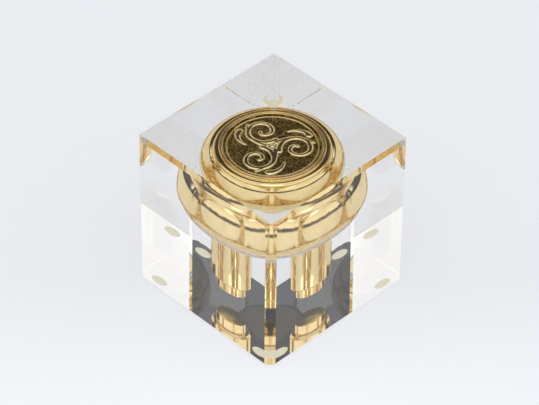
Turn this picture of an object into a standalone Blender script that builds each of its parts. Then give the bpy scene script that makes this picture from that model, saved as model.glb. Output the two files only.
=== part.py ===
"""An inkwell, square from above: a clear cast block in two halves, with a gilt brass lid in the upper half and
a gilt collar and ink cup in the lower half. The upper half lifts straight off and takes the stopper with it.

Metres, +Z up. The table is at Z = 0, and every turned piece has its axis on X = Y = 0.
"""

import math

import bmesh
import bpy
from mathutils import Matrix, Vector

# Driving dimensions
SIDE = 0.080              # the block's sides, seen from above
HEIGHT = 0.077            # the two clear halves together, a little lower than they are wide
GAP = 0.0003              # left between neighbouring solids
EDGE_CHAMFER = 0.0032     # off the block's upright corners, along the diagonal's two sides
FACE_CHAMFER = 0.0016     # off the edges round its top
UNDER_CHAMFER = 0.0006    # off the edges round its underside
FOOT_HEIGHT = 0.0020      # from the table to the block's underside
SPLIT_DEPTH = 0.0305      # from the block's top down to the joint between the two halves
STEPS = 40                # sides of the large turned pieces
FINE_STEPS = 24           # sides of the small ones
SCREW_SIDES = 14

HALF = SIDE / 2
TOP_Z = FOOT_HEIGHT + HEIGHT
SPLIT_Z = TOP_Z - SPLIT_DEPTH
BASE_TOP_Z = SPLIT_Z - GAP / 2
LID_BOTTOM_Z = SPLIT_Z + GAP / 2

# Feet
FOOT_RADIUS = 0.0044
FOOT_PLACE = 0.0305       # from the axis along X and along Y

# Lid unit
DECK_Z = TOP_Z - 0.0133       # the dome's flat deck, under the medallion
FIELD_Z = TOP_Z - 0.0108      # the medallion's face
MEDALLION_RADIUS = 0.0202
BEZEL_OUTER = 0.0223
BEZEL_TOP_Z = TOP_Z - 0.0094
DOME_SHOULDER = 0.0227        # where the dome's curve starts, beside the bezel
DOME_EQUATOR = 0.0301
DOME_EQUATOR_Z = TOP_Z - 0.0268
DOME_FOOT = 0.0293
DOME_FOOT_Z = LID_BOTTOM_Z + GAP
SHEET = 0.0011                # the dome's wall
PLATE_THICKNESS = 0.0015
PLATE_RADIUS = DOME_FOOT - SHEET - GAP
CORE_RADIUS = 0.0224
CORE_TOP_RADIUS = 0.0150
SKIRT_INNER = 0.0237
SKIRT_OUTER = 0.0251
SKIRT_DEPTH = 0.0020

# Collar unit
COLLAR_TOP = 0.0293
COLLAR_WAIST = 0.0284
COLLAR_WAIST_Z = TOP_Z - 0.0318
COLLAR_LIP = 0.0266
COLLAR_LIP_Z = TOP_Z - 0.0334
COLLAR_FOOT = 0.0240                # the hub under the lip
COLLAR_FOOT_Z = TOP_Z - 0.0352
COLLAR_TOP_Z = BASE_TOP_Z - 0.00015
RIM_INNER = 0.0254
SEAT_Z = COLLAR_FOOT_Z + 0.0024     # the recess's floor, where the dish rests
CUP_SEAT_Z = COLLAR_FOOT_Z + 0.0006  # where the cup's flange hangs
COLLAR_GASKET_THICKNESS = 0.0009
COLLAR_GASKET_RADIUS = 0.0264
DISH_EDGE = 0.0234
DISH_THICKNESS = 0.0010
DISH_LIP = 0.0005                   # the dish's thickness at its mouth
MOUTH_RADIUS = 0.0090

# Ink cup
CUP_RADIUS = 0.0111
CUP_WALL = 0.0009
FLANGE_RADIUS = 0.0140
FLANGE_THICKNESS = 0.0007
CUP_BOTTOM_Z = TOP_Z - 0.0641
SPIGOT_RADIUS = 0.0082
SPIGOT_BOTTOM_Z = TOP_Z - 0.0690
LINER_RADIUS = CUP_RADIUS - CUP_WALL - GAP
LINER_WALL = 0.0009
CUP_SEAL_THICKNESS = 0.0004

# Stopper
STOPPER_RADIUS = 0.0082
STOPPER_LENGTH = 0.0080
SEAL_GROOVE_DEPTH = 0.0011
SEAL_HEIGHT = 0.0012
SEAL_OUTER = 0.0084
SEAL_DROP = 0.0042        # from the stopper's top down to its seal's groove
FELT_THICKNESS = 0.0006

# Screws
SMALL_SHANK = 0.0010
SMALL_HEAD = 0.0019
SMALL_HEAD_HEIGHT = 0.0007
PLATE_SCREW_CIRCLE = 0.0192
DISH_SHANK = 0.0008
DISH_HEAD = 0.0013
DISH_SCREW_CIRCLE = 0.0212
CENTRE_SHANK = 0.0015
CENTRE_HEAD = 0.0029
CENTRE_HEAD_HEIGHT = 0.0015
HOLE_ROOM = 0.0003                  # a hole's radius over its screw's

# Colours: red, green, blue, roughness, metallic
GILT = (0.80, 0.58, 0.26, 0.12, 1.0)
ANTIQUE_GILT = (0.52, 0.40, 0.18, 0.35, 1.0)
BRASS = (0.72, 0.56, 0.30, 0.30, 1.0)
CLEAR = (0.93, 0.95, 0.96, 0.03, 0.0)
LINER_CLEAR = (0.86, 0.92, 0.92, 0.05, 0.0)
WHITE_RUBBER = (0.86, 0.84, 0.78, 0.45, 0.0)
BLACK_RUBBER = (0.05, 0.05, 0.05, 0.60, 0.0)
FELT_GREEN = (0.10, 0.22, 0.14, 0.95, 0.0)
STRAW_RUBBER = (0.80, 0.76, 0.56, 0.50, 0.0)


def clear_scene():
    for old in list(bpy.data.objects):
        bpy.data.objects.remove(old, do_unlink=True)


def new_collection(name):
    collection = bpy.data.collections.new(name)
    bpy.context.scene.collection.children.link(collection)
    return collection


def finish_material(name, look):
    red, green, blue, roughness, metallic = look
    material = bpy.data.materials.new(name + "_finish")
    material.use_nodes = True
    shader = material.node_tree.nodes["Principled BSDF"]
    shader.inputs["Base Color"].default_value = (red, green, blue, 1.0)
    shader.inputs["Roughness"].default_value = roughness
    shader.inputs["Metallic"].default_value = metallic
    material.diffuse_color = (red, green, blue, 1.0)
    return material


def add_object(name, mesh, collection, parent=None, look=None):
    item = bpy.data.objects.new(name, mesh)
    collection.objects.link(item)
    if parent is not None:
        item.parent = parent
        item.matrix_parent_inverse = parent.matrix_world.inverted()
    if look is not None:
        mesh.materials.append(finish_material(name, look))
    return item


def arc(centre_r, centre_z, radius_r, radius_z, start, end, count):
    """Points of an elliptic arc in the (r, z) plane. Angles are in degrees, 0 is outwards and 90 is up."""
    points = []
    for index in range(count + 1):
        angle = math.radians(start + (end - start) * index / count)
        points.append((centre_r + radius_r * math.cos(angle), centre_z + radius_z * math.sin(angle)))
    return points


def turned(name, profile, steps, collection, parent=None, look=None, ring=False):
    """A turned solid. The profile runs down its outer side, and a ring's profile closes on itself."""
    mesh = bpy.data.meshes.new(name)
    form = bmesh.new()
    corners = [form.verts.new((r, 0.0, z)) for r, z in profile]
    for first, second in zip(corners, corners[1:]):
        form.edges.new((first, second))
    if ring:
        form.edges.new((corners[-1], corners[0]))
    form.to_mesh(mesh)
    form.free()
    item = add_object(name, mesh, collection, parent, look)
    screw = item.modifiers.new("turn", "SCREW")
    screw.axis = "Z"
    screw.angle = 2 * math.pi
    screw.steps = steps
    screw.render_steps = steps
    screw.use_merge_vertices = True
    screw.merge_threshold = 0.00001
    screw.use_smooth_shade = True
    return item


def cylinder_mesh(name, radius, low_z, high_z, sides):
    mesh = bpy.data.meshes.new(name)
    form = bmesh.new()
    bmesh.ops.create_cone(
        form,
        cap_ends=True,
        segments=sides,
        radius1=radius,
        radius2=radius,
        depth=high_z - low_z,
        matrix=Matrix.Translation(Vector((0, 0, (high_z + low_z) / 2))),
    )
    form.to_mesh(mesh)
    form.free()
    return mesh


def cut(item, cutter, label="cut"):
    difference = item.modifiers.new(label, "BOOLEAN")
    difference.operation = "DIFFERENCE"
    difference.solver = "EXACT"
    difference.object = cutter


def as_cutter(item):
    item.hide_render = True
    item.display_type = "WIRE"
    return item


def round_cutter(name, radius, low_z, high_z, place, sides=SCREW_SIDES):
    cutter = add_object(name, cylinder_mesh(name, radius, low_z, high_z, sides), cutters)
    cutter.location = (place[0], place[1], 0)
    return as_cutter(cutter)


def ring_places(circle, start_degrees):
    """Four places spaced evenly round a circle."""
    places = []
    for index in range(4):
        angle = math.radians(start_degrees + 90 * index)
        places.append((circle * math.cos(angle), circle * math.sin(angle)))
    return places


def keep_below(form, point, normal):
    """Cuts a closed convex form with a plane, drops what lies beyond it and closes the cut."""
    geometry = form.verts[:] + form.edges[:] + form.faces[:]
    bmesh.ops.bisect_plane(form, geom=geometry, plane_co=point, plane_no=normal, clear_outer=True)
    rim = [edge for edge in form.edges if edge.is_boundary]
    if rim:
        bmesh.ops.contextual_create(form, geom=rim)


def block(name, low_z, high_z, chamfered_z, chamfer, parent):
    """A clear square block with its upright corners and the edges round one face ground off, sharp at the joint."""
    mesh = bpy.data.meshes.new(name)
    form = bmesh.new()
    bmesh.ops.create_cube(form, size=1.0)
    bmesh.ops.scale(form, vec=(SIDE, SIDE, high_z - low_z), verts=form.verts)
    bmesh.ops.translate(form, vec=(0, 0, (high_z + low_z) / 2), verts=form.verts)
    outward = 1 if chamfered_z == high_z else -1
    for quarter in range(4):
        turn = Matrix.Rotation(math.radians(90 * quarter), 3, "Z")
        corner = turn @ Vector((HALF - EDGE_CHAMFER, HALF, 0))
        keep_below(form, corner, turn @ Vector((1, 1, 0)))
        edge = turn @ Vector((HALF - chamfer, 0, 0)) + Vector((0, 0, chamfered_z))
        keep_below(form, edge, turn @ Vector((1, 0, outward)))
    bmesh.ops.recalc_face_normals(form, faces=form.faces)
    form.to_mesh(mesh)
    form.free()
    return add_object(name, mesh, parts, parent, CLEAR)


def screw_piece(name, shank, head, tip_z, seat_z, head_below, place, parent):
    """A pan-head screw along Z, with a hexagon socket in its head. Its shank runs from the seat to the tip."""
    head_radius, head_height = head
    if head_below:
        low, high = seat_z - head_height, tip_z
        profile = [(0, high), (shank, high), (shank, seat_z), (head_radius, seat_z), (head_radius, low), (0, low)]
        socket_low, socket_high = low - GAP, low + head_height * 0.6
    else:
        low, high = tip_z, seat_z + head_height
        profile = [(0, high), (head_radius, high), (head_radius, seat_z), (shank, seat_z), (shank, low), (0, low)]
        socket_low, socket_high = high - head_height * 0.6, high + GAP
    item = turned(name, profile, SCREW_SIDES, parts, parent, BRASS)
    item.location = (place[0], place[1], 0)
    socket = round_cutter(name + "_socket", head_radius * 0.45, socket_low, socket_high, place, sides=6)
    cut(item, socket, "socket")
    return item


def dome_outline(grow):
    """The lid dome's outer side, from its shoulder beside the bezel down to its foot, grown outwards by grow."""
    bulge = arc(
        DOME_SHOULDER,
        DOME_EQUATOR_Z,
        DOME_EQUATOR - DOME_SHOULDER + grow,
        FIELD_Z - DOME_EQUATOR_Z + grow,
        90,
        0,
        9,
    )
    waist = ((DOME_EQUATOR + DOME_FOOT) / 2 + 0.0002 + grow, (DOME_EQUATOR_Z + DOME_FOOT_Z) / 2)
    return bulge + [waist, (DOME_FOOT + grow, DOME_FOOT_Z)]


def collar_outline(grow):
    """The collar's outer side, from its top edge down to its lip, grown outwards by grow."""
    return [
        (COLLAR_TOP + grow, COLLAR_TOP_Z),
        (COLLAR_WAIST + grow, COLLAR_WAIST_Z),
        (COLLAR_LIP + grow, COLLAR_LIP_Z),
    ]


def make_lid_shell(lid):
    # The clear upper half, cast over the dome and the medallion's bezel
    upper = block("lid_block", LID_BOTTOM_Z, TOP_Z, TOP_Z, FACE_CHAMFER, lid)
    room_z = FIELD_Z + 0.0008
    hollow = [(0, room_z), (MEDALLION_RADIUS, room_z)]
    hollow += [(MEDALLION_RADIUS, BEZEL_TOP_Z + GAP), (BEZEL_OUTER + GAP, BEZEL_TOP_Z + GAP)]
    hollow += [(BEZEL_OUTER + GAP, FIELD_Z + GAP)]
    hollow += dome_outline(GAP)
    hollow += [(DOME_FOOT + GAP, LID_BOTTOM_Z - 0.002), (0, LID_BOTTOM_Z - 0.002)]
    cut(upper, as_cutter(turned("lid_hollow", hollow, STEPS, cutters)))

    # The spun brass dome, with a sunk deck for the medallion
    outer = [(DOME_SHOULDER, DECK_Z), (DOME_SHOULDER, FIELD_Z)] + dome_outline(0)[1:]
    inner = [(DOME_FOOT - SHEET, DOME_FOOT_Z)]
    inner += arc(
        DOME_SHOULDER,
        DOME_EQUATOR_Z,
        DOME_EQUATOR - SHEET - DOME_SHOULDER,
        DECK_Z - SHEET - DOME_EQUATOR_Z,
        0,
        90,
        6,
    )
    turned("lid_dome", [(0, DECK_Z)] + outer + inner + [(0, DECK_Z - SHEET)], STEPS, parts, lid, GILT)

    # The medallion lies in its bezel, on a felt disc
    felt_top = DECK_Z + GAP + FELT_THICKNESS
    felt = cylinder_mesh("medallion_backing", MEDALLION_RADIUS - GAP, DECK_Z + GAP, felt_top, STEPS)
    add_object("medallion_backing", felt, parts, lid, FELT_GREEN)
    boss_height = 0.0004
    face = [
        (0, FIELD_Z + boss_height),
        (MEDALLION_RADIUS * 0.30, FIELD_Z + boss_height),
        (MEDALLION_RADIUS * 0.34, FIELD_Z),
        (MEDALLION_RADIUS * 0.86, FIELD_Z),
        (MEDALLION_RADIUS * 0.90, FIELD_Z + boss_height),
        (MEDALLION_RADIUS - GAP, FIELD_Z),
        (MEDALLION_RADIUS - GAP, felt_top + GAP),
        (0, felt_top + GAP),
    ]
    turned("medallion", face, STEPS, parts, lid, ANTIQUE_GILT)
    bead = (BEZEL_OUTER - MEDALLION_RADIUS) / 2
    bezel = arc(MEDALLION_RADIUS + bead, BEZEL_TOP_Z - bead, bead, bead, 180, 0, 6)
    bezel += [(BEZEL_OUTER, DECK_Z + GAP), (MEDALLION_RADIUS, DECK_Z + GAP)]
    turned("medallion_bezel", bezel, STEPS, parts, lid, GILT, ring=True)


def make_lid_inside(lid):
    # The turned core inside the dome weighs the lid and takes the screws
    plate_low = DOME_FOOT_Z
    plate_high = plate_low + PLATE_THICKNESS
    core_low = plate_high + GAP
    core_high = DECK_Z - SHEET - GAP
    core_profile = [
        (0, core_high),
        (CORE_TOP_RADIUS, core_high),
        (CORE_RADIUS, (core_high + core_low) / 2),
        (CORE_RADIUS, core_low),
        (0, core_low),
    ]
    core = turned("lid_core", core_profile, STEPS, parts, lid, BRASS)

    # The plate closes the dome from below, and the skirt ring under it drops into the collar
    plate_profile = [(0, plate_high), (PLATE_RADIUS, plate_high), (PLATE_RADIUS, plate_low), (0, plate_low)]
    plate = turned("lid_plate", plate_profile, STEPS, parts, lid, GILT)
    under_plate = plate_low - GAP
    skirt_low = under_plate - SKIRT_DEPTH
    skirt_chamfer = 0.0004
    skirt = [
        (SKIRT_OUTER, under_plate),
        (SKIRT_OUTER, skirt_low + skirt_chamfer),
        (SKIRT_OUTER - skirt_chamfer, skirt_low),
        (SKIRT_INNER, skirt_low),
        (SKIRT_INNER, under_plate),
    ]
    turned("skirt_ring", skirt, STEPS, parts, lid, GILT, ring=True)

    # The stopper hangs under the plate, with a rubber ring in its groove
    stopper_low = under_plate - STOPPER_LENGTH
    groove_high = under_plate - SEAL_DROP
    groove_low = groove_high - SEAL_HEIGHT - 2 * GAP
    groove_radius = STOPPER_RADIUS - SEAL_GROOVE_DEPTH
    stopper_chamfer = 0.0008
    stopper_profile = [
        (0, under_plate),
        (STOPPER_RADIUS, under_plate),
        (STOPPER_RADIUS, groove_high),
        (groove_radius, groove_high),
        (groove_radius, groove_low),
        (STOPPER_RADIUS, groove_low),
        (STOPPER_RADIUS, stopper_low + stopper_chamfer),
        (STOPPER_RADIUS - stopper_chamfer, stopper_low),
        (0, stopper_low),
    ]
    stopper = turned("stopper", stopper_profile, FINE_STEPS, parts, lid, GILT)
    seal_bead = (SEAL_OUTER - groove_radius - GAP) / 2
    seal_z = (groove_high + groove_low) / 2
    seal = arc(groove_radius + GAP + seal_bead, seal_z, seal_bead, SEAL_HEIGHT / 2, 180, -180, 8)[:-1]
    turned("stopper_seal", seal, FINE_STEPS, parts, lid, BLACK_RUBBER, ring=True)

    # The centre screw runs up through the stopper and the plate into the core
    screw_tip = plate_high + 0.0090
    recess_top = stopper_low + CENTRE_HEAD_HEIGHT + 2 * GAP
    centre = (0, 0)
    head = (CENTRE_HEAD, CENTRE_HEAD_HEIGHT)
    screw_piece("stopper_screw", CENTRE_SHANK, head, screw_tip, recess_top - GAP, True, centre, lid)
    recess = round_cutter("stopper_recess", CENTRE_HEAD + HOLE_ROOM, stopper_low - GAP, recess_top, centre)
    cut(stopper, recess, "recess")
    bore_top = screw_tip + 2 * GAP
    bore = round_cutter("stopper_bore", CENTRE_SHANK + HOLE_ROOM, stopper_low - GAP, bore_top, centre)
    for drilled in (stopper, plate, core):
        cut(drilled, bore, "bore")

    # Four screws hold the plate to the core
    tip_z = core_low + 0.0050
    head = (SMALL_HEAD, SMALL_HEAD_HEIGHT)
    for index, place in enumerate(ring_places(PLATE_SCREW_CIRCLE, 45), start=1):
        name = f"plate_screw_{index}"
        screw_piece(name, SMALL_SHANK, head, tip_z, under_plate, True, place, lid)
        hole_radius = SMALL_SHANK + HOLE_ROOM
        hole = round_cutter(name + "_hole", hole_radius, under_plate, tip_z + 2 * GAP, place)
        cut(plate, hole, f"hole_{index}")
        cut(core, hole, f"hole_{index}")


def make_collar():
    # The collar is set in the lower half: its rim locates the lid, and its recess holds the dish
    inside = [
        (CUP_RADIUS + GAP, COLLAR_FOOT_Z),
        (CUP_RADIUS + GAP, CUP_SEAT_Z),
        (FLANGE_RADIUS + GAP, CUP_SEAT_Z),
        (FLANGE_RADIUS + GAP, SEAT_Z),
        (RIM_INNER, SEAT_Z),
        (RIM_INNER, COLLAR_TOP_Z),
    ]
    hub = [(COLLAR_FOOT, COLLAR_LIP_Z), (COLLAR_FOOT, COLLAR_FOOT_Z)]
    collar = turned("collar_ring", collar_outline(0) + hub + inside, STEPS, parts, None, GILT, ring=True)
    gasket_top = COLLAR_LIP_Z - GAP
    gasket_low = gasket_top - COLLAR_GASKET_THICKNESS
    gasket = [
        (COLLAR_GASKET_RADIUS, gasket_top),
        (COLLAR_GASKET_RADIUS, gasket_low),
        (COLLAR_FOOT + GAP, gasket_low),
        (COLLAR_FOOT + GAP, gasket_top),
    ]
    turned("collar_gasket", gasket, STEPS, parts, None, WHITE_RUBBER, ring=True)

    # The dish guides the pen's nib and drains it back into the cup
    dish_low = SEAT_Z + GAP
    dish_flat = DISH_SCREW_CIRCLE - DISH_HEAD - GAP
    dish_profile = [
        (DISH_EDGE, dish_low + DISH_THICKNESS),
        (DISH_EDGE, dish_low),
        (MOUTH_RADIUS, dish_low),
        (MOUTH_RADIUS, dish_low + DISH_LIP),
        (dish_flat, dish_low + DISH_THICKNESS),
    ]
    dish = turned("ink_dish", dish_profile, STEPS, parts, None, GILT, ring=True)
    head_seat = dish_low + DISH_THICKNESS + GAP
    tip_z = COLLAR_FOOT_Z + 0.0009
    for index, place in enumerate(ring_places(DISH_SCREW_CIRCLE, 0), start=1):
        name = f"dish_screw_{index}"
        screw_piece(name, DISH_SHANK, (DISH_HEAD, SMALL_HEAD_HEIGHT), tip_z, head_seat, False, place, None)
        hole = round_cutter(name + "_hole", DISH_SHANK + HOLE_ROOM, tip_z - GAP, head_seat, place)
        cut(dish, hole, f"hole_{index}")
        cut(collar, hole, f"hole_{index}")


def make_cup():
    # The brass cup hangs from its flange, on a rubber ring
    seal_low = CUP_SEAT_Z + GAP
    seal_high = seal_low + CUP_SEAL_THICKNESS
    flange_low = seal_high + GAP
    flange_high = flange_low + FLANGE_THICKNESS
    seal = [
        (FLANGE_RADIUS, seal_high),
        (FLANGE_RADIUS, seal_low),
        (CUP_RADIUS + GAP, seal_low),
        (CUP_RADIUS + GAP, seal_high),
    ]
    turned("cup_gasket", seal, STEPS, parts, None, BLACK_RUBBER, ring=True)
    corner = 0.0012
    bore = CUP_RADIUS - CUP_WALL
    floor_z = CUP_BOTTOM_Z + CUP_WALL
    profile = [
        (0, floor_z),
        (bore, floor_z),
        (bore, flange_high),
        (FLANGE_RADIUS, flange_high),
        (FLANGE_RADIUS, flange_low),
        (CUP_RADIUS, flange_low),
        (CUP_RADIUS, CUP_BOTTOM_Z + corner),
        (CUP_RADIUS - corner, CUP_BOTTOM_Z),
        (SPIGOT_RADIUS, CUP_BOTTOM_Z),
        (SPIGOT_RADIUS, SPIGOT_BOTTOM_Z),
        (0, SPIGOT_BOTTOM_Z),
    ]
    turned("ink_cup", profile, STEPS, parts, None, GILT)

    # The glass liner stands in the cup and holds the ink
    liner_low = floor_z + GAP
    liner_bore = LINER_RADIUS - LINER_WALL
    liner = [
        (0, liner_low + LINER_WALL),
        (liner_bore, liner_low + LINER_WALL),
        (liner_bore, flange_high),
        (LINER_RADIUS, flange_high),
        (LINER_RADIUS, liner_low),
        (0, liner_low),
    ]
    turned("cup_liner", liner, STEPS, parts, None, LINER_CLEAR)


def make_base():
    # The clear lower half, with a pocket for the collar and a bore for the cup
    lower = block("base_block", FOOT_HEIGHT, BASE_TOP_Z, FOOT_HEIGHT, UNDER_CHAMFER, None)
    gasket_seat = COLLAR_LIP_Z - COLLAR_GASKET_THICKNESS - 2 * GAP
    bore = CUP_RADIUS + GAP
    spigot_bore = SPIGOT_RADIUS + GAP
    hollow = [(0, BASE_TOP_Z + 0.002), (COLLAR_TOP + GAP, BASE_TOP_Z + 0.002)]
    hollow += collar_outline(GAP)
    hollow += [(COLLAR_LIP + GAP, gasket_seat), (COLLAR_FOOT + GAP, gasket_seat)]
    hollow += [(COLLAR_FOOT + GAP, COLLAR_FOOT_Z - GAP), (bore, COLLAR_FOOT_Z - GAP)]
    hollow += [(bore, CUP_BOTTOM_Z - GAP), (spigot_bore, CUP_BOTTOM_Z - GAP)]
    hollow += [(spigot_bore, SPIGOT_BOTTOM_Z - GAP), (0, SPIGOT_BOTTOM_Z - GAP)]
    cut(lower, as_cutter(turned("base_hollow", hollow, STEPS, cutters)))

    # Four soft feet under the corners
    foot_edge = 0.0005
    for index, (x_sign, y_sign) in enumerate(((1, 1), (-1, 1), (-1, -1), (1, -1)), start=1):
        profile = [
            (0, FOOT_HEIGHT - GAP),
            (FOOT_RADIUS, FOOT_HEIGHT - GAP),
            (FOOT_RADIUS, foot_edge),
            (FOOT_RADIUS - foot_edge, 0),
            (0, 0),
        ]
        foot = turned(f"foot_pad_{index}", profile, FINE_STEPS, parts, None, STRAW_RUBBER)
        foot.location = (x_sign * FOOT_PLACE, y_sign * FOOT_PLACE, 0)


clear_scene()
parts = new_collection("inkwell")
cutters = new_collection("cutters")
make_base()
make_collar()
make_cup()
lid_axis = bpy.data.objects.new("lid_axis", None)
parts.objects.link(lid_axis)
lid_axis.location = (0, 0, SPLIT_Z)
bpy.context.view_layer.update()
make_lid_shell(lid_axis)
make_lid_inside(lid_axis)
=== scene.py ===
"""Looks for the inkwell: a block in two clear cast halves, with gilt brass bedded in them."""
import math

import bmesh
import bpy
import numpy as np
from mathutils import Matrix, Vector


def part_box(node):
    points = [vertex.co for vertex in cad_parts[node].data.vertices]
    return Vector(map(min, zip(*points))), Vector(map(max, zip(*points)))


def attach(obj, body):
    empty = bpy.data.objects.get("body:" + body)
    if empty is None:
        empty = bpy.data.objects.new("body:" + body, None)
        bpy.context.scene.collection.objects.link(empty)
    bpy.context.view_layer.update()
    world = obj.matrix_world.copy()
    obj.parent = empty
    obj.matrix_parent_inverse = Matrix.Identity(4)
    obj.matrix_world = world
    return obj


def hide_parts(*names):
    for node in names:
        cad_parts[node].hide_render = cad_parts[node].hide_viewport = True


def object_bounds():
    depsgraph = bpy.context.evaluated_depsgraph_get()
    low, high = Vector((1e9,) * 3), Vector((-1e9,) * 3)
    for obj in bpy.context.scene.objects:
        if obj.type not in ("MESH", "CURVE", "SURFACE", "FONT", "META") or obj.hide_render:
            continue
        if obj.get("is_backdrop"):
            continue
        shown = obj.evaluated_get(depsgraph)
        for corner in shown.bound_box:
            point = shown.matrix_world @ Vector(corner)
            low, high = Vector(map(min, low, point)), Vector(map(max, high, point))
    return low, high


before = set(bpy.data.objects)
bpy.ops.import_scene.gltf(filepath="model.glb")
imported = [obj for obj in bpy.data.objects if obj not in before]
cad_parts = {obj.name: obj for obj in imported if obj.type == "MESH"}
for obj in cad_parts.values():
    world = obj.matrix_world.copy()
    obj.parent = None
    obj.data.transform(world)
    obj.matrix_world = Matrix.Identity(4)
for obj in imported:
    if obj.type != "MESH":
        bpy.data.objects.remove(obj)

MM = 0.001
cad_low, cad_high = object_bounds()

# Sizes read from the frame
side = cad_high.x - cad_low.x
half = side / 2
top_z = cad_high.z
block_low_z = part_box("base_block")[0].z
split_z = (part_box("base_block")[1].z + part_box("lid_block")[0].z) / 2
GAP = 0.3 * MM          # left between neighbouring solids that aren't bedded
SEAM = 0.01 * MM        # each half stops this far from the joint
BEDDED = 0.06 * MM      # how far the clear halves reach into the brass they are cast round

# Camera, as azimuth and elevation round the object in degrees, distance in metres and lens in millimetres
CAMERA_AZIMUTH = 45.2
CAMERA_ELEVATION = 40.96
CAMERA_DISTANCE = 1.2821
CAMERA_ROLL = 0.6
LENS = 206.3
azimuth = math.radians(CAMERA_AZIMUTH)
away = (-math.sin(azimuth), math.cos(azimuth), 0.0)     # level, from the camera to the object


def radius_of(node):
    low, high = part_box(node)
    return (high.x - low.x) / 2


def low_of(node):
    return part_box(node)[0].z


def high_of(node):
    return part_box(node)[1].z


# ---------------------------------------------------------------- materials

def new_material(name):
    material = bpy.data.materials.new(name)
    material.use_nodes = True
    tree = material.node_tree
    return material, tree, tree.nodes["Principled BSDF"]


def add_node(tree, kind, **settings):
    node = tree.nodes.new(kind)
    for key, value in settings.items():
        setattr(node, key, value)
    return node


def noise_at(tree, scale, detail=4.0, roughness=0.55):
    coordinates = add_node(tree, "ShaderNodeTexCoord")
    noise = add_node(tree, "ShaderNodeTexNoise")
    noise.inputs["Scale"].default_value = scale
    noise.inputs["Detail"].default_value = detail
    noise.inputs["Roughness"].default_value = roughness
    tree.links.new(coordinates.outputs["Object"], noise.inputs["Vector"])
    return noise


def ranged(tree, source, low, high, out_low, out_high):
    remap = add_node(tree, "ShaderNodeMapRange")
    remap.inputs["From Min"].default_value = low
    remap.inputs["From Max"].default_value = high
    remap.inputs["To Min"].default_value = out_low
    remap.inputs["To Max"].default_value = out_high
    tree.links.new(source, remap.inputs["Value"])
    return remap.outputs["Result"]


def colour_ramp(tree, source, stops):
    ramp = add_node(tree, "ShaderNodeValToRGB")
    elements = ramp.color_ramp.elements
    while len(elements) < len(stops):
        elements.new(0.5)
    for element, (position, colour) in zip(elements, stops):
        element.position = position
        element.color = (*colour, 1.0)
    tree.links.new(source, ramp.inputs["Fac"])
    return ramp.outputs["Color"]


def along(tree, vector, axis):
    """How far a vector reaches along an axis."""
    dot = add_node(tree, "ShaderNodeVectorMath", operation="DOT_PRODUCT")
    dot.inputs[1].default_value = axis
    tree.links.new(vector, dot.inputs[0])
    return dot.outputs["Value"]


def blended(tree, kind, first, second):
    """Two colours put together in full, by the mix node's blend of that kind."""
    mix = add_node(tree, "ShaderNodeMix", data_type="RGBA", blend_type=kind)
    first_colour, second_colour, result_colour = mix.inputs[6], mix.inputs[7], mix.outputs[2]
    mix.inputs["Factor"].default_value = 1.0
    tree.links.new(first, first_colour)
    tree.links.new(second, second_colour)
    return result_colour


def bump_from(tree, shader, source, strength, distance):
    bump = add_node(tree, "ShaderNodeBump")
    bump.inputs["Strength"].default_value = strength
    bump.inputs["Distance"].default_value = distance
    tree.links.new(source, bump.inputs["Height"])
    tree.links.new(bump.outputs["Normal"], shader.inputs["Normal"])


def clear_material(name, ior, tint):
    """Polished cast crystal, whose tint drifts a little through the casting."""
    material, tree, shader = new_material(name)
    shader.inputs["Transmission Weight"].default_value = 1.0
    shader.inputs["IOR"].default_value = ior
    shader.inputs["Roughness"].default_value = 0.0
    faint = noise_at(tree, 25.0, detail=2.0)
    pale = colour_ramp(tree, faint.outputs["Fac"], ((0.35, tint), (0.65, (1.0, 1.0, 1.0))))
    tree.links.new(pale, shader.inputs["Base Color"])
    return material


def brass_material(name, bright, dull, roughness, smudge=0.05):
    """Polished brass whose tone and gloss drift a little, with fine turning marks."""
    material, tree, shader = new_material(name)
    shader.inputs["Metallic"].default_value = 1.0
    cloud = noise_at(tree, 160.0, detail=3.0)
    tree.links.new(
        colour_ramp(tree, cloud.outputs["Fac"], ((0.30, dull), (0.62, bright))), shader.inputs["Base Color"]
    )
    fine = noise_at(tree, 1400.0, detail=5.0)
    gloss = ranged(tree, fine.outputs["Fac"], 0.35, 0.75, roughness, roughness + smudge)
    tree.links.new(gloss, shader.inputs["Roughness"])
    bump_from(tree, shader, fine.outputs["Fac"], 0.05, 0.00002)
    return material


def rubber_material(name, base, deep, roughness, glow=0.0):
    """Rubber with a fine grain, blotched from deep to base, with a weak painted glow, even all over, that
    stands in for the light it lets through.
    """
    material, tree, shader = new_material(name)
    shader.inputs["IOR"].default_value = 1.41
    shader.inputs["Emission Color"].default_value = (*base, 1.0)
    shader.inputs["Emission Strength"].default_value = glow
    cloud = noise_at(tree, 400.0, detail=4.0)
    tree.links.new(
        colour_ramp(tree, cloud.outputs["Fac"], ((0.35, deep), (0.65, base))), shader.inputs["Base Color"]
    )
    grain = noise_at(tree, 3000.0, detail=3.0)
    tree.links.new(
        ranged(tree, grain.outputs["Fac"], 0.3, 0.7, roughness, roughness + 0.12), shader.inputs["Roughness"]
    )
    bump_from(tree, shader, grain.outputs["Fac"], 0.15, 0.00004)
    return material


def felt_material():
    material, tree, shader = new_material("green_felt")
    fibres = noise_at(tree, 2500.0, detail=8.0, roughness=0.8)
    tree.links.new(
        colour_ramp(tree, fibres.outputs["Fac"], ((0.3, (0.03, 0.09, 0.05)), (0.7, (0.10, 0.24, 0.14)))),
        shader.inputs["Base Color"],
    )
    shader.inputs["Roughness"].default_value = 0.95
    shader.inputs["Sheen Weight"].default_value = 0.4
    bump_from(tree, shader, fibres.outputs["Fac"], 0.5, 0.0001)
    return material


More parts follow.
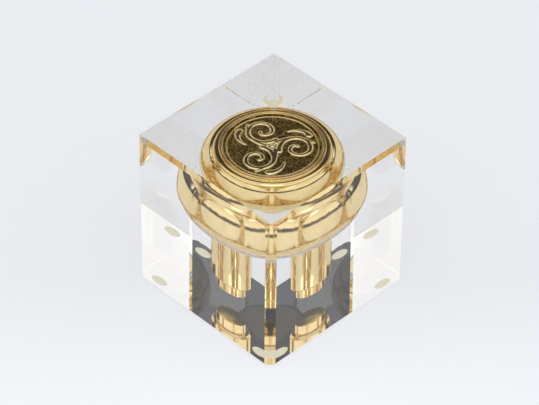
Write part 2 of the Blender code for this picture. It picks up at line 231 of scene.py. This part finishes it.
def medallion_material():
    """Struck brass with dark patina in its stippled ground, bright rubbed high points, and painted glints
    that make each stipple dot brighter at its centre.
    """
    material, tree, shader = new_material("antique_brass")
    shader.inputs["Metallic"].default_value = 1.0
    height = add_node(tree, "ShaderNodeAttribute", attribute_name="relief", attribute_type="GEOMETRY")
    coordinates = add_node(tree, "ShaderNodeTexCoord")
    dots = add_node(tree, "ShaderNodeTexVoronoi")
    dots.inputs["Scale"].default_value = 1300.0
    tree.links.new(coordinates.outputs["Object"], dots.inputs["Vector"])
    cloud = noise_at(tree, 260.0, detail=5.0, roughness=0.7)
    worn = add_node(tree, "ShaderNodeMath", operation="MULTIPLY_ADD")
    worn.inputs[1].default_value = 0.42
    tree.links.new(cloud.outputs["Fac"], worn.inputs[0])
    tree.links.new(height.outputs["Fac"], worn.inputs[2])
    # Painted glints: the stipple dots are lighter at their centres and darker at their rims.
    wear_and_painted_glints = add_node(tree, "ShaderNodeMath", operation="MULTIPLY_ADD")
    wear_and_painted_glints.inputs[1].default_value = -0.30
    tree.links.new(dots.outputs["Distance"], wear_and_painted_glints.inputs[0])
    tree.links.new(worn.outputs[0], wear_and_painted_glints.inputs[2])
    patina = (
        (0.02, (0.09, 0.060, 0.018)),
        (0.16, (0.42, 0.31, 0.11)),
        (0.40, (0.62, 0.47, 0.19)),
        (0.66, (0.97, 0.80, 0.45)),
    )
    tree.links.new(colour_ramp(tree, wear_and_painted_glints.outputs[0], patina), shader.inputs["Base Color"])
    tree.links.new(ranged(tree, worn.outputs[0], 0.3, 1.0, 0.34, 0.12), shader.inputs["Roughness"])
    ground = ranged(tree, height.outputs["Fac"], 0.05, 0.35, 1.0, 0.0)
    stipple = add_node(tree, "ShaderNodeMath", operation="MULTIPLY")
    tree.links.new(dots.outputs["Distance"], stipple.inputs[0])
    tree.links.new(ground, stipple.inputs[1])
    bump_from(tree, shader, stipple.outputs[0], 1.0, 0.00022)
    return material


GLASS_IOR = 1.50
AIR_IOR = 1.0           # for the joint's two faces, so that the hair-thin gap between them isn't a mirror
crystal = clear_material("crystal", GLASS_IOR, (0.975, 0.975, 0.97))
joint_face = clear_material("crystal_joint", AIR_IOR, (1.0, 1.0, 1.0))
liner_glass = clear_material("liner_glass", GLASS_IOR, (0.88, 0.95, 0.93))
gilt = brass_material("gilt_brass", (0.92, 0.73, 0.38), (0.87, 0.66, 0.32), 0.07)
plain_brass = brass_material("plain_brass", (0.78, 0.60, 0.32), (0.66, 0.50, 0.26), 0.22, 0.15)
antique = medallion_material()
white_rubber = rubber_material("white_rubber", (0.92, 0.90, 0.86), (0.84, 0.81, 0.75), 0.25)
black_rubber = rubber_material("black_rubber", (0.030, 0.030, 0.032), (0.015, 0.015, 0.016), 0.45)
# The feet's straw rubber gets a painted glow, 0.35 strong.
straw_rubber = rubber_material("straw_rubber", (0.95, 0.91, 0.72), (0.88, 0.83, 0.60), 0.35, glow=0.35)
felt = felt_material()


# ---------------------------------------------------------------- mesh tools

def finished(name, form, material, smooth_angle=35.0):
    """The form as a smooth-shaded object, sharp where its faces meet at more than the smooth angle."""
    bmesh.ops.recalc_face_normals(form, faces=form.faces)
    mesh = bpy.data.meshes.new(name)
    form.to_mesh(mesh)
    form.free()
    mesh.materials.append(material)
    for polygon in mesh.polygons:
        polygon.use_smooth = True
    mesh.set_sharp_from_angle(angle=math.radians(smooth_angle))
    item = bpy.data.objects.new(name, mesh)
    bpy.context.scene.collection.objects.link(item)
    return item


def turned_form(profile, steps, closed=False):
    """The profile of (r, z) points turned round the Z axis. A closed profile makes a ring."""
    form = bmesh.new()
    corners = [form.verts.new((r, 0.0, z)) for r, z in profile]
    edges = [form.edges.new(pair) for pair in zip(corners, corners[1:])]
    if closed:
        edges.append(form.edges.new((corners[-1], corners[0])))
    bmesh.ops.spin(
        form, geom=corners + edges, cent=(0, 0, 0), axis=(0, 0, 1), angle=2 * math.pi, steps=steps
    )
    bmesh.ops.remove_doubles(form, verts=form.verts, dist=0.000001)
    return form


def turned(name, profile, material, steps=192, closed=False, place=(0.0, 0.0)):
    form = turned_form(profile, steps, closed)
    bmesh.ops.translate(form, vec=(place[0], place[1], 0), verts=form.verts)
    return finished(name, form, material)


def arc(centre_r, centre_z, radius_r, radius_z, start, end, count):
    """Points of an elliptic arc in the (r, z) plane. Angles are in degrees, 0 is outwards and 90 is up."""
    points = []
    for index in range(count + 1):
        angle = math.radians(start + (end - start) * index / count)
        points.append((centre_r + radius_r * math.cos(angle), centre_z + radius_z * math.sin(angle)))
    return points


def rounded(profile, radius, closed=False, count=3):
    """The same profile with its corners eased by a small curve, apart from those on the axis."""
    eased = []
    total = len(profile)
    for index, point in enumerate(profile):
        is_end = not closed and index in (0, total - 1)
        before = Vector(profile[index - 1])
        here = Vector(point)
        after = Vector(profile[(index + 1) % total])
        if is_end or here.x < radius:
            eased.append(point)
            continue
        short_side = min((before - here).length, (after - here).length)
        reach = min(radius, short_side * 0.45)
        first = here + (before - here).normalized() * reach
        last = here + (after - here).normalized() * reach
        for step in range(count + 1):
            t = step / count
            blend = first.lerp(here, t).lerp(here.lerp(last, t), t)
            eased.append((blend.x, blend.y))
    return eased


def put(piece, body, slot_name, *nodes):
    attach(piece, body)
    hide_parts(*nodes)
    return piece


# ---------------------------------------------------------------- profiles of the bedded brass

DOME_TOP_DEPTH = 0.275 * half        # depths are measured down from the block's top
DOME_SHOULDER = 0.57 * half
DOME_EQUATOR_DEPTH = 0.67 * half
LIP_RADIUS = 26.6 * MM
TUCK = 0.86                          # how much of a quarter ellipse the bulge's underside takes up

dome_equator = radius_of("lid_dome")
widest_z = top_z - DOME_EQUATOR_DEPTH
lip_z = top_z - 33.4 * MM


def under_side(count, start_z, end_z, grow):
    """The bulge's underside between two heights; it runs on from the dome over the joint into the collar."""
    full_tuck = 1 - math.sqrt(1 - TUCK ** 2)
    points = []
    for index in range(count + 1):
        z = start_z + (end_z - start_z) * index / count
        drop = (widest_z - z) / (widest_z - lip_z)
        tuck = (1 - math.sqrt(1 - (TUCK * drop) ** 2)) / full_tuck
        points.append((dome_equator - tuck * (dome_equator - LIP_RADIUS) + grow, z))
    return points


def dome_side(grow=0.0):
    """The dome's outer side down to the joint, as (r, z)."""
    wide = dome_equator - DOME_SHOULDER + grow
    tall = DOME_EQUATOR_DEPTH - DOME_TOP_DEPTH + grow
    bulge = arc(DOME_SHOULDER, widest_z, wide, tall, 90, 0, 40)
    return bulge + under_side(10, widest_z, split_z + SEAM, grow)[1:]


def collar_side(grow=0.0):
    """The collar's outer side from the joint down to its lip, as (r, z)."""
    return under_side(10, split_z - SEAM, lip_z, grow)


# ---------------------------------------------------------------- clear halves

EDGE_CHAMFER = 3.2 * MM
FACE_CHAMFER = 1.6 * MM
UNDER_CHAMFER = 0.6 * MM


def keep_below(form, point, normal):
    """Cuts a closed convex form with a plane, drops what lies beyond it and closes the cut."""
    geometry = form.verts[:] + form.edges[:] + form.faces[:]
    bmesh.ops.bisect_plane(form, geom=geometry, plane_co=point, plane_no=normal, clear_outer=True)
    rim = [edge for edge in form.edges if edge.is_boundary]
    if rim:
        bmesh.ops.contextual_create(form, geom=rim)


def clear_half(name, low_z, high_z, chamfered_z, chamfer, hollow):
    """A clear square block, chamfered round one face and hollowed by a turned profile."""
    form = bmesh.new()
    bmesh.ops.create_cube(form, size=1.0)
    bmesh.ops.scale(form, vec=(side, side, high_z - low_z), verts=form.verts)
    bmesh.ops.translate(form, vec=(0, 0, (high_z + low_z) / 2), verts=form.verts)
    outward = 1 if chamfered_z == high_z else -1
    for quarter in range(4):
        turn = Matrix.Rotation(math.radians(90 * quarter), 3, "Z")
        keep_below(form, turn @ Vector((half - EDGE_CHAMFER, half, 0)), turn @ Vector((1, 1, 0)))
        edge = turn @ Vector((half - chamfer, 0, 0)) + Vector((0, 0, chamfered_z))
        keep_below(form, edge, turn @ Vector((1, 0, outward)))
    block = finished(name + "_blank", form, crystal)
    cutter = finished(name + "_cutter", turned_form(hollow, 192), crystal)
    difference = block.modifiers.new("hollow", "BOOLEAN")
    difference.operation = "DIFFERENCE"
    difference.solver = "EXACT"
    difference.object = cutter
    depsgraph = bpy.context.evaluated_depsgraph_get()
    mesh = bpy.data.meshes.new_from_object(block.evaluated_get(depsgraph))
    bpy.data.objects.remove(block)
    bpy.data.objects.remove(cutter)
    mesh.name = name
    mesh.materials.clear()
    mesh.materials.append(crystal)
    mesh.materials.append(joint_face)
    joint_z = low_z if chamfered_z == high_z else high_z
    for polygon in mesh.polygons:
        flat = abs(polygon.normal.z) > 0.999 and math.isclose(polygon.center.z, joint_z, abs_tol=0.001 * MM)
        polygon.material_index = 1 if flat else 0
        polygon.use_smooth = True
    mesh.set_sharp_from_angle(angle=math.radians(20))
    item = bpy.data.objects.new(name, mesh)
    bpy.context.scene.collection.objects.link(item)
    return item


field_z = top_z - 0.27 * half        # where the dome and the bezel meet
ground_z = field_z - 0.3 * MM        # the medallion's stippled ground
ceiling_z = ground_z - 0.4 * MM      # the hollow ends inside the medallion, so that the glass closes over it
cutter_reach = 2 * MM                # past the joint
bezel_r = radius_of("medallion_bezel")
medal_r = radius_of("medallion")

upper_hollow = [(0, ceiling_z), (medal_r, ceiling_z), (bezel_r - 0.3 * MM, ceiling_z)]
upper_hollow += dome_side(-BEDDED)[1:]
upper_hollow += [(upper_hollow[-1][0], split_z - cutter_reach), (0, split_z - cutter_reach)]
clear_upper = clear_half("clear_upper", split_z + SEAM, top_z, top_z, FACE_CHAMFER, upper_hollow)
put(clear_upper, "lid", "clear_block", "lid_block")

HUB_RADIUS = 24.0 * MM
SPIGOT_RADIUS = 8.2 * MM
CUP_WALL = 0.9 * MM
CUP_CORNER = 1.2 * MM

gasket_low = low_of("collar_gasket")
gasket_r = radius_of("collar_gasket")
collar_low = low_of("collar_ring")
liner_r = radius_of("cup_liner")
liner_low = low_of("cup_liner")
cup_r = liner_r + GAP + CUP_WALL
cup_low = liner_low - GAP - CUP_WALL
spigot_low = low_of("ink_cup")
bore_r = cup_r - BEDDED
spigot_bore_r = SPIGOT_RADIUS - BEDDED
pocket_side = collar_side(-BEDDED)
lower_hollow = [
    (0, split_z + cutter_reach),
    (pocket_side[0][0], split_z + cutter_reach),
    *pocket_side,
    (gasket_r - BEDDED, lip_z + BEDDED),
    (gasket_r - BEDDED, gasket_low + BEDDED),
    (HUB_RADIUS, gasket_low + BEDDED),
    (HUB_RADIUS - BEDDED, collar_low + BEDDED),
    (bore_r, collar_low + BEDDED),
    (bore_r, cup_low + CUP_CORNER),
    (bore_r - CUP_CORNER, cup_low + BEDDED),
    (spigot_bore_r, cup_low + BEDDED),
    (spigot_bore_r, spigot_low + BEDDED),
    (0, spigot_low + BEDDED),
]
lower_top = split_z - SEAM
clear_lower = clear_half("clear_lower", block_low_z, lower_top, block_low_z, UNDER_CHAMFER, lower_hollow)
put(clear_lower, "base", "clear_block", "base_block")


# ---------------------------------------------------------------- lid's brass

SHEET = 1.1 * MM                     # the dome's wall
deck_z = ground_z - 2.2 * MM         # the dome's sunk deck, under the medallion
dome_outside = dome_side()
dome_inside = [(r - SHEET, z - SHEET * 0.6) for r, z in reversed(dome_outside[:-1])]
dome_profile = [(0, deck_z), (bezel_r, deck_z), (bezel_r, field_z - 0.3 * MM)]
dome_profile += dome_outside
dome_profile += [(dome_outside[-1][0] - SHEET, split_z + SEAM)] + dome_inside
dome_profile += [(bezel_r - 1 * MM, deck_z - SHEET), (0, deck_z - SHEET)]
dome = turned("spun_dome", dome_profile, gilt)
put(dome, "lid", "gilt_brass", "lid_dome")

INNER_BEAD = 0.45 * MM
OUTER_BEAD = 0.5 * MM
bezel_inner = bezel_r - 2.1 * MM
bezel_outer = bezel_r + 0.02 * MM
bezel_top = top_z - 0.245 * half
bezel_low = ground_z - 1.0 * MM
quirk_r = bezel_inner + 2 * INNER_BEAD + 0.05 * MM
outer_bead_r = bezel_inner + 2 * INNER_BEAD + 0.1 * MM + OUTER_BEAD
bezel_profile = [(bezel_inner, bezel_low)]
bezel_profile += arc(bezel_inner + INNER_BEAD, bezel_top - INNER_BEAD, INNER_BEAD, INNER_BEAD, 180, 0, 12)
bezel_profile += [(quirk_r, bezel_top - 1.1 * INNER_BEAD)]
bezel_profile += arc(outer_bead_r, bezel_top - 0.75 * MM, OUTER_BEAD, OUTER_BEAD, 180, 0, 12)
bezel_profile += [(bezel_outer, bezel_top - 1.0 * MM), (bezel_outer, bezel_low)]
bezel = turned("beaded_bezel", bezel_profile, gilt, closed=True)
put(bezel, "lid", "gilt_brass", "medallion_bezel")


def scroll_lines():
    """Centre lines of the ornament, in millimetres: (points, start half-width, end half-width)."""
    lines = []
    for arm in range(3):
        turn = math.radians(120 * arm + 35)
        scroll = []
        for index in range(91):
            t = index / 90
            angle = math.radians(205 - 470 * t)
            reach = 6.6 * (1 - t) ** 0.8 + 1.1
            scroll.append((10.3 + reach * math.cos(angle), 0.6 + reach * math.sin(angle)))
        stem = []
        for index in range(41):
            t = index / 40
            angle = math.radians(64 - 46 * t)
            reach = 2.6 + 14.6 * t
            stem.append((reach * math.cos(angle), reach * math.sin(angle)))
        leaf = []
        for index in range(31):
            t = index / 30
            angle = math.radians(66 - 30 * t)
            reach = 11.2 + 5.4 * math.sin(math.pi * 0.5 * t)
            leaf.append((reach * math.cos(angle), reach * math.sin(angle)))
        for points, start, end in ((scroll, 1.45, 0.95), (stem, 1.25, 0.7), (leaf, 0.6, 1.8)):
            cosine, sine = math.cos(turn), math.sin(turn)
            placed = [(x * cosine - y * sine, x * sine + y * cosine) for x, y in points]
            lines.append((placed, start, end))
    return lines


def relief_height(x, y):
    """Ornament height over the ground, 0 to 1, at points given in millimetres."""
    height = np.zeros_like(x)
    for points, start, end in scroll_lines():
        line = np.array(points)
        nearest = np.full(x.shape, np.inf)
        for index, (line_x, line_y) in enumerate(line):
            half_width = start + (end - start) * index / (len(line) - 1)
            nearest = np.minimum(nearest, np.hypot(x - line_x, y - line_y) / half_width)
        ridge = np.sqrt(np.clip(1.0 - nearest ** 2, 0.0, 1.0))
        height = np.maximum(height, ridge)
    reach = np.hypot(x, y)
    petals = 3.3 + 0.5 * np.cos(6 * np.arctan2(y, x))
    rosette = np.clip((petals - reach) / 0.5 + 0.5, 0, 1)
    height = np.maximum(height, rosette * (0.62 + 0.3 * np.cos(reach * 2.0)))
    border = np.exp(-(((reach - (medal_r / MM - 1.0)) / 0.28) ** 2))
    return np.maximum(height, 0.8 * border)


def make_medallion():
    """The struck disc, a little crowned, with its ornament's height kept on each point for the patina."""
    rings, segments = 132, 360
    relief_depth = 0.62 * MM
    crown_height = 0.25 * MM
    rim_r = medal_r + 0.35 * MM
    radii = rim_r * (np.arange(1, rings + 1) / rings)
    angles = 2 * math.pi * np.arange(segments) / segments
    grid_r, grid_a = np.meshgrid(radii, angles, indexing="ij")
    x = (grid_r * np.cos(grid_a)).ravel()
    y = (grid_r * np.sin(grid_a)).ravel()
    x = np.concatenate([[0.0], x])
    y = np.concatenate([[0.0], y])
    height = relief_height(x / MM, y / MM)
    crown = crown_height * (1 - (np.hypot(x, y) / rim_r) ** 2)
    z = ground_z + crown + height * relief_depth
    form = bmesh.new()
    verts = [form.verts.new(point) for point in zip(x.tolist(), y.tolist(), z.tolist())]
    for segment in range(segments):
        following = (segment + 1) % segments
        form.faces.new((verts[0], verts[1 + segment], verts[1 + following]))
    for ring in range(rings - 1):
        start = 1 + ring * segments
        for segment in range(segments):
            following = (segment + 1) % segments
            inner_a, inner_b = verts[start + segment], verts[start + following]
            outer_a, outer_b = verts[start + segments + segment], verts[start + segments + following]
            form.faces.new((inner_a, outer_a, outer_b, inner_b))
    rim = verts[1 + (rings - 1) * segments:]
    under_z = ground_z - 1.0 * MM
    under = [form.verts.new((v.co.x, v.co.y, under_z)) for v in rim]
    for segment in range(segments):
        following = (segment + 1) % segments
        form.faces.new((rim[segment], under[segment], under[following], rim[following]))
    form.faces.new(under[::-1])
    item = finished("struck_medallion", form, antique, smooth_angle=60)
    relief = item.data.attributes.new("relief", "FLOAT", "POINT")
    values = np.concatenate([height, np.zeros(len(under))]).astype(np.float32)
    relief.data.foreach_set("value", values)
    return item


medallion = make_medallion()
put(medallion, "lid", "antique_brass", "medallion")

backing_low, backing_high = low_of("medallion_backing"), high_of("medallion_backing")
backing_r = radius_of("medallion_backing")
backing_profile = [(0, backing_high), (backing_r, backing_high), (backing_r, backing_low), (0, backing_low)]
backing = turned("felt_disc", rounded(backing_profile, 0.2 * MM), felt, 96)
put(backing, "lid", "green_felt", "medallion_backing")


# ---------------------------------------------------------------- collar, dish, cup

LINER_WALL = 0.9 * MM
CUP_FLANGE = 0.7 * MM
MOUTH_RADIUS = 9.0 * MM
MOUTH_THICKNESS = 0.5 * MM           # the dish's, at its mouth
DISH_RIM = 4.2 * MM                  # the flat round the dish, under its screws
TOUCH = 0.02 * MM                    # left where one piece lies against another

rim_inner = radius_of("skirt_ring") + GAP
dish_low, dish_high = low_of("ink_dish"), high_of("ink_dish")
dish_r = radius_of("ink_dish")
seat_z = dish_low - GAP
seal_low, seal_high = low_of("cup_gasket"), high_of("cup_gasket")
flange_r = radius_of("cup_gasket")
cup_high = high_of("cup_liner")
collar_bore_r = cup_r + GAP
ledge_z = seal_low - 0.1 * MM
collar_profile = collar_side() + [
    (HUB_RADIUS, lip_z),
    (HUB_RADIUS, collar_low),
    (collar_bore_r, collar_low),
    (collar_bore_r, ledge_z),
    (flange_r + GAP, ledge_z),
    (flange_r + GAP, seat_z),
    (rim_inner, seat_z),
    (rim_inner, split_z - SEAM - 0.3 * MM),
    (rim_inner + 0.3 * MM, split_z - SEAM),
]
collar = turned("gilt_collar", collar_profile, gilt, closed=True)
put(collar, "base", "gilt_brass", "collar_ring")

gasket_profile = [
    (gasket_r, lip_z - TOUCH),
    (gasket_r, gasket_low),
    (HUB_RADIUS + TOUCH, gasket_low),
    (HUB_RADIUS + TOUCH, lip_z - TOUCH),
]
gasket = turned("collar_cushion", gasket_profile, white_rubber, closed=True)
put(gasket, "base", "white_rubber", "collar_gasket")

dish_profile = [
    (MOUTH_RADIUS, dish_low),
    (MOUTH_RADIUS, dish_low + MOUTH_THICKNESS),
    (dish_r - DISH_RIM, dish_high),
    (dish_r, dish_high),
    (dish_r, dish_low),
]
dish = turned("nib_dish", rounded(dish_profile, 0.18 * MM, closed=True), gilt, closed=True)
put(dish, "base", "gilt_brass", "ink_dish")

cup_inner = liner_r + GAP
cup_floor = liner_low - GAP
cup_profile = [
    (0, cup_floor),
    (cup_inner, cup_floor),
    (cup_inner, cup_high),
    (flange_r, cup_high),
    (flange_r, cup_high - CUP_FLANGE),
    (cup_r, cup_high - CUP_FLANGE),
    (cup_r, cup_low + CUP_CORNER),
    (cup_r - CUP_CORNER, cup_low),
    (SPIGOT_RADIUS, cup_low),
    (SPIGOT_RADIUS, spigot_low),
    (0, spigot_low),
]
cup = turned("gilt_cup", rounded(cup_profile, 0.15 * MM), gilt)
put(cup, "base", "gilt_brass", "ink_cup")

liner_profile = [
    (0, liner_low + LINER_WALL),
    (liner_r - LINER_WALL, liner_low + LINER_WALL),
    (liner_r - LINER_WALL, cup_high),
    (liner_r, cup_high),
    (liner_r, liner_low),
    (0, liner_low),
]
liner = turned("glass_liner", rounded(liner_profile, 0.35 * MM), liner_glass, 96)
put(liner, "base", "liner_glass", "cup_liner")

seal_inner = cup_r + GAP
seal_profile = [(flange_r, seal_high), (flange_r, seal_low), (seal_inner, seal_low), (seal_inner, seal_high)]
cup_seal = turned("cup_seal", seal_profile, black_rubber, 96, closed=True)
put(cup_seal, "base", "black_rubber", "cup_gasket")


# ---------------------------------------------------------------- lid's inside and stopper

core_low, core_high = low_of("lid_core"), high_of("lid_core")
core_r = radius_of("lid_core")
core_profile = [
    (0, core_high),
    (15 * MM, core_high),
    (core_r, (core_high + core_low) / 2),
    (core_r, core_low),
    (0, core_low),
]
core = turned("turned_core", rounded(core_profile, 0.5 * MM), plain_brass, 96)
put(core, "lid", "plain_brass", "lid_core")

plate_low, plate_high = low_of("lid_plate"), high_of("lid_plate")
plate_r = radius_of("lid_plate")
plate_profile = [(0, plate_high), (plate_r, plate_high), (plate_r, plate_low)]
for share in (0.92, 0.86, 0.52, 0.47):
    groove_r = plate_r * share
    plate_profile += [
        (groove_r + 0.25 * MM, plate_low),
        (groove_r, plate_low + 0.15 * MM),
        (groove_r - 0.25 * MM, plate_low),
    ]
plate = turned("closing_plate", plate_profile + [(0, plate_low)], gilt)
put(plate, "lid", "gilt_brass", "lid_plate")

skirt_low, skirt_high = low_of("skirt_ring"), high_of("skirt_ring")
skirt_r = radius_of("skirt_ring")
skirt_inner = skirt_r - 1.4 * MM
skirt_profile = [
    (skirt_r, skirt_high),
    (skirt_r, skirt_low),
    (skirt_inner, skirt_low),
    (skirt_inner, skirt_high),
]
skirt = turned("locating_skirt", rounded(skirt_profile, 0.35 * MM, closed=True), gilt, closed=True)
put(skirt, "lid", "gilt_brass", "skirt_ring")

stopper_low, stopper_high = low_of("stopper"), high_of("stopper")
stopper_r = radius_of("stopper")
ring_z = (low_of("stopper_seal") + high_of("stopper_seal")) / 2
ring_r = radius_of("stopper_seal")
groove_half = 0.9 * MM
groove_floor = stopper_r - 1.1 * MM
stopper_edge = 0.8 * MM
recess_r = 3.2 * MM
recess_top = stopper_low + 2.1 * MM
stopper_profile = [
    (0, stopper_high),
    (stopper_r, stopper_high),
    (stopper_r, ring_z + groove_half),
    (groove_floor, ring_z + groove_half),
    (groove_floor, ring_z - groove_half),
    (stopper_r, ring_z - groove_half),
    (stopper_r, stopper_low + stopper_edge),
    (stopper_r - stopper_edge, stopper_low),
    (recess_r, stopper_low),
    (recess_r, recess_top),
    (0, recess_top),
]
stopper = turned("gilt_stopper", rounded(stopper_profile, 0.15 * MM), gilt, 128)
put(stopper, "lid", "gilt_brass", "stopper")

ring_bead = 0.52 * MM
ring_profile = arc(ring_r - ring_bead, ring_z, ring_bead, 0.6 * MM, 180, -180, 24)[:-1]
stopper_ring = turned("stopper_ring", ring_profile, black_rubber, 128, closed=True)
put(stopper_ring, "lid", "black_rubber", "stopper_seal")


def pan_screw(name, node, body, head_h, head_below):
    """A pan-head screw with a round socket in its head, in the place of its CAD node."""
    low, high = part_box(node)
    centre = (low + high) / 2
    head_r = (high.y - low.y) / 2
    edge = 0.3 * head_h
    shank_r = head_r * 0.55
    point_r = shank_r * 0.5
    socket_r = head_r * 0.45
    length = high.z - low.z
    profile = [(0, -0.6 * head_h), (socket_r, -0.6 * head_h), (socket_r, 0.0)]
    profile += arc(head_r - edge, -edge, edge, edge, 90, 0, 4)
    profile += [(head_r, -head_h), (shank_r, -head_h)]
    profile += [(shank_r, -length + point_r), (point_r, -length), (0, -length)]
    form = turned_form(profile, 48)
    if head_below:
        bmesh.ops.rotate(form, matrix=Matrix.Rotation(math.pi, 3, "X"), verts=form.verts)
        shift = low.z
    else:
        shift = high.z
    bmesh.ops.translate(form, vec=(centre.x, centre.y, shift), verts=form.verts)
    put(finished(name, form, plain_brass), body, "plain_brass", node)


pan_screw("centre_screw", "stopper_screw", "lid", 1.5 * MM, head_below=True)
for number in range(1, 5):
    pan_screw(f"plate_pan_screw_{number}", f"plate_screw_{number}", "lid", 0.7 * MM, head_below=True)
    pan_screw(f"dish_pan_screw_{number}", f"dish_screw_{number}", "base", 0.7 * MM, head_below=False)


# ---------------------------------------------------------------- feet

FOOT_EDGE = 0.8 * MM
foot_top = block_low_z + 0.03 * MM   # a little inside the block, so that no air shows between them
for number in range(1, 5):
    low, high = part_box(f"foot_pad_{number}")
    centre = (low + high) / 2
    foot_r = (high.x - low.x) / 2
    foot_profile = [(0, foot_top), (foot_r, foot_top)]
    foot_profile += arc(foot_r - FOOT_EDGE, FOOT_EDGE, FOOT_EDGE, FOOT_EDGE, 0, -90, 8)
    foot_profile += [(0, 0.0)]
    foot = turned(f"soft_foot_{number}", foot_profile, straw_rubber, 64, place=(centre.x, centre.y))
    put(foot, "base", "straw_rubber", f"foot_pad_{number}")


# ---------------------------------------------------------------- floor, light, camera

def make_floor():
    """A plain pale floor lit by painted light: a weak glow of its own that fills in the block's shadow,
    painted a little brighter towards the camera.
    """
    material, tree, shader = new_material("pale_floor")
    shader.inputs["Base Color"].default_value = (0.28, 0.285, 0.295, 1.0)
    shader.inputs["Roughness"].default_value = 0.9
    shader.inputs["Emission Color"].default_value = (0.93, 0.955, 1.0, 1.0)
    place = add_node(tree, "ShaderNodeTexCoord").outputs["Object"]
    # Painted light: the glow is stronger towards the camera and falls off to the block's centre line.
    glow = ranged(tree, along(tree, place, away), -0.12, 0.0, 0.78, 0.66)
    tree.links.new(glow, shader.inputs["Emission Strength"])
    form = bmesh.new()
    bmesh.ops.create_grid(form, x_segments=1, y_segments=1, size=3.0)
    floor = finished("pale_floor", form, material)
    floor.location.z = -0.02 * MM
    floor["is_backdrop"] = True


def make_world():
    """A soft studio: white walls over a dark skirting, a soft box over the camera, and a dark room behind."""
    world = bpy.data.worlds.new("studio")
    bpy.context.scene.world = world
    world.use_nodes = True
    tree = world.node_tree
    direction = add_node(tree, "ShaderNodeTexCoord").outputs["Generated"]

    # The skirting's height wanders, so that the brass doesn't mirror one even band
    clutter = add_node(tree, "ShaderNodeTexNoise")
    clutter.inputs["Scale"].default_value = 5.0
    tree.links.new(direction, clutter.inputs["Vector"])
    height = add_node(tree, "ShaderNodeMath", operation="MULTIPLY_ADD")
    height.inputs[1].default_value = 0.30
    tree.links.new(clutter.outputs["Fac"], height.inputs[0])
    tree.links.new(along(tree, direction, (0.0, 0.0, 1.0)), height.inputs[2])
    wall_stops = (
        (0.15, (0.30, 0.30, 0.31)),
        (0.20, (0.05, 0.05, 0.055)),
        (0.30, (0.06, 0.06, 0.065)),
        (0.40, (1.15, 1.14, 1.12)),
        (0.80, (1.0, 1.0, 1.0)),
        (1.0, (0.9, 0.9, 0.9)),
    )
    walls = colour_ramp(tree, height.outputs[0], wall_stops)

    over_camera = (0.55 * math.sin(azimuth), -0.55 * math.cos(azimuth), 0.835)
    softbox_stops = ((0.955, (0.0, 0.0, 0.0)), (0.975, (2.2, 2.15, 2.05)))
    softbox = colour_ramp(tree, along(tree, direction, over_camera), softbox_stops)
    room_stops = ((0.22, (1.0, 1.0, 1.0)), (0.42, (0.036, 0.038, 0.045)))
    room = colour_ramp(tree, along(tree, direction, away), room_stops)
    lights = blended(tree, "LIGHTEN", walls, softbox)
    background = tree.nodes["Background"]
    tree.links.new(blended(tree, "MULTIPLY", lights, room), background.inputs["Color"])
    background.inputs["Strength"].default_value = 1.0


def make_camera():
    elevation = math.radians(CAMERA_ELEVATION)
    level = math.cos(elevation)
    towards = Vector((math.sin(azimuth) * level, -math.cos(azimuth) * level, math.sin(elevation)))
    right = Vector((math.cos(azimuth), math.sin(azimuth), 0))
    target = -1.0 * MM * right + Vector((0, 0, block_low_z + 41.0 * MM))
    data = bpy.data.cameras.new("camera")
    camera = bpy.data.objects.new("camera", data)
    bpy.context.scene.collection.objects.link(camera)
    data.sensor_width = 36
    data.lens = LENS
    camera.location = target + towards * CAMERA_DISTANCE
    camera.rotation_mode = "QUATERNION"
    roll = Matrix.Rotation(math.radians(CAMERA_ROLL), 4, "Z").to_quaternion()
    camera.rotation_quaternion = (-towards).to_track_quat("-Z", "Y") @ roll
    bpy.context.scene.camera = camera


make_floor()
make_world()
make_camera()
bpy.context.scene.view_settings.view_transform = "Standard"

# Light is turned back many times inside the block before it leaves it
light_paths = bpy.context.scene.cycles
light_paths.max_bounces = 32
light_paths.glossy_bounces = 24
light_paths.transmission_bounces = 24

low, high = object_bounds()
